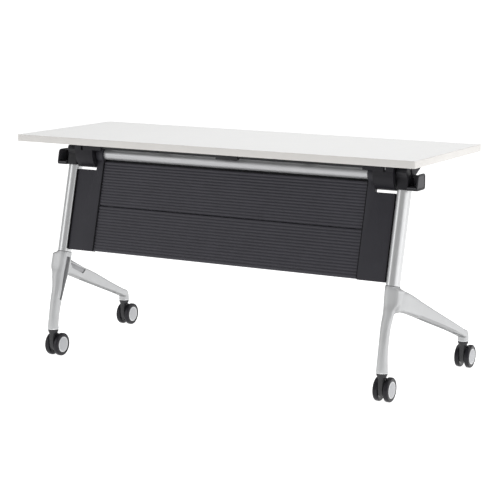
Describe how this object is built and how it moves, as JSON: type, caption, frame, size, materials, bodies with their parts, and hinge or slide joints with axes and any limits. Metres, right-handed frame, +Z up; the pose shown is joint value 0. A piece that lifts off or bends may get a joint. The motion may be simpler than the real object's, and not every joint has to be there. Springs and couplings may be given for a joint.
{
  "type": "flip top training table",
  "caption": "Rolling training table with a white top that flips upright about a cross tube, leaning posts on splayed feet with castors, a ribbed modesty panel and a bag hook at each end.",
  "frame": {"origin": "on the floor, under the middle of the whole table's box", "axes": "+X along the table's length, -Y the front with the modesty panel, +Z up"},
  "size_m": [1.4, 0.629, 0.74],
  "materials": {
    "white_laminate": "white melamine laminate on board, fine satin",
    "edge_band": "warm grey edge band",
    "satin_aluminium": "satin anodised extrusion",
    "silver_tube": "silver powder coat",
    "silver_casting": "silver powder coat on a casting",
    "ribbed_panel": "ribbed dark grey extrusion",
    "dark_plate": "fine textured moulding",
    "black_casting": "black powder coat",
    "black_nylon": "satin black moulding",
    "black_steel": "black powder coat",
    "castor_black": "satin black moulding",
    "tyre_black": "soft tread",
    "hub_grey": "light grey disc",
    "axle_steel": "plain steel"
  },
  "bodies": {
    "base": {"right_post": "satin_aluminium", "left_post": "satin_aluminium", "cross_tube": "silver_tube", "right_head": "black_nylon", "left_head": "black_nylon", "right_end_plate": "dark_plate", "left_end_plate": "dark_plate", "upper_panel": "ribbed_panel", "lower_panel": "ribbed_panel", "right_hinge_drum": "black_nylon", "left_hinge_drum": "black_nylon", "right_foot": "silver_casting", "left_foot": "silver_casting"},
    "top": {"top_board": "white_laminate", "edge_band": "edge_band", "right_hinge_bracket": "black_casting", "left_hinge_bracket": "black_casting", "right_bar_hanger": "black_nylon", "left_bar_hanger": "black_nylon"},
    "release": {"release_bar": "black_steel", "release_paddle": "black_nylon"},
    "front_right_swivel": {"front_right_castor": "castor_black", "front_right_axle": "axle_steel"},
    "front_right_roller_a": {"front_right_wheel_a": "tyre_black", "front_right_hub_a": "hub_grey"},
    "front_right_roller_b": {"front_right_wheel_b": "tyre_black", "front_right_hub_b": "hub_grey"},
    "front_left_swivel": {"front_left_castor": "castor_black", "front_left_axle": "axle_steel"},
    "front_left_roller_a": {"front_left_wheel_a": "tyre_black", "front_left_hub_a": "hub_grey"},
    "front_left_roller_b": {"front_left_wheel_b": "tyre_black", "front_left_hub_b": "hub_grey"},
    "rear_right_swivel": {"rear_right_castor": "castor_black", "rear_right_axle": "axle_steel"},
    "rear_right_roller_a": {"rear_right_wheel_a": "tyre_black", "rear_right_hub_a": "hub_grey"},
    "rear_right_roller_b": {"rear_right_wheel_b": "tyre_black", "rear_right_hub_b": "hub_grey"},
    "rear_left_swivel": {"rear_left_castor": "castor_black", "rear_left_axle": "axle_steel"},
    "rear_left_roller_a": {"rear_left_wheel_a": "tyre_black", "rear_left_hub_a": "hub_grey"},
    "rear_left_roller_b": {"rear_left_wheel_b": "tyre_black", "rear_left_hub_b": "hub_grey"}
  },
  "joints": [
    {"name": "flip", "type": "hinge", "parent": "base", "child": "top", "pos_m": [0, -0.1225, 0.671], "axis": [1, 0, 0], "range_deg": [0, 75]},
    {"name": "release_turn", "type": "hinge", "parent": "top", "child": "release", "pos_m": [0, -0.1575, 0.698], "axis": [-1, 0, 0], "range_deg": [0, 25], "stiffness_Nm_per_rad": 1},
    {"name": "front_right_swivel_turn", "type": "hinge", "parent": "base", "child": "front_right_swivel", "pos_m": [0.595, -0.2745, 0.09], "axis": [0, 0, 1], "continuous": true},
    {"name": "front_right_roll_a", "type": "hinge", "parent": "front_right_swivel", "child": "front_right_roller_a", "pos_m": [0.595, -0.2525, 0.038], "axis": [1, 0, 0], "continuous": true},
    {"name": "front_right_roll_b", "type": "hinge", "parent": "front_right_swivel", "child": "front_right_roller_b", "pos_m": [0.595, -0.2525, 0.038], "axis": [1, 0, 0], "continuous": true},
    {"name": "front_left_swivel_turn", "type": "hinge", "parent": "base", "child": "front_left_swivel", "pos_m": [-0.595, -0.2745, 0.09], "axis": [0, 0, 1], "continuous": true},
    {"name": "front_left_roll_a", "type": "hinge", "parent": "front_left_swivel", "child": "front_left_roller_a", "pos_m": [-0.595, -0.2525, 0.038], "axis": [1, 0, 0], "continuous": true},
    {"name": "front_left_roll_b", "type": "hinge", "parent": "front_left_swivel", "child": "front_left_roller_b", "pos_m": [-0.595, -0.2525, 0.038], "axis": [1, 0, 0], "continuous": true},
    {"name": "rear_right_swivel_turn", "type": "hinge", "parent": "base", "child": "rear_right_swivel", "pos_m": [0.653, 0.2545, 0.09], "axis": [0, 0, 1], "continuous": true},
    {"name": "rear_right_roll_a", "type": "hinge", "parent": "rear_right_swivel", "child": "rear_right_roller_a", "pos_m": [0.653, 0.2765, 0.038], "axis": [1, 0, 0], "continuous": true},
    {"name": "rear_right_roll_b", "type": "hinge", "parent": "rear_right_swivel", "child": "rear_right_roller_b", "pos_m": [0.653, 0.2765, 0.038], "axis": [1, 0, 0], "continuous": true},
    {"name": "rear_left_swivel_turn", "type": "hinge", "parent": "base", "child": "rear_left_swivel", "pos_m": [-0.653, 0.2545, 0.09], "axis": [0, 0, 1], "continuous": true},
    {"name": "rear_left_roll_a", "type": "hinge", "parent": "rear_left_swivel", "child": "rear_left_roller_a", "pos_m": [-0.653, 0.2765, 0.038], "axis": [1, 0, 0], "continuous": true},
    {"name": "rear_left_roll_b", "type": "hinge", "parent": "rear_left_swivel", "child": "rear_left_roller_b", "pos_m": [-0.653, 0.2765, 0.038], "axis": [1, 0, 0], "continuous": true}
  ]
}
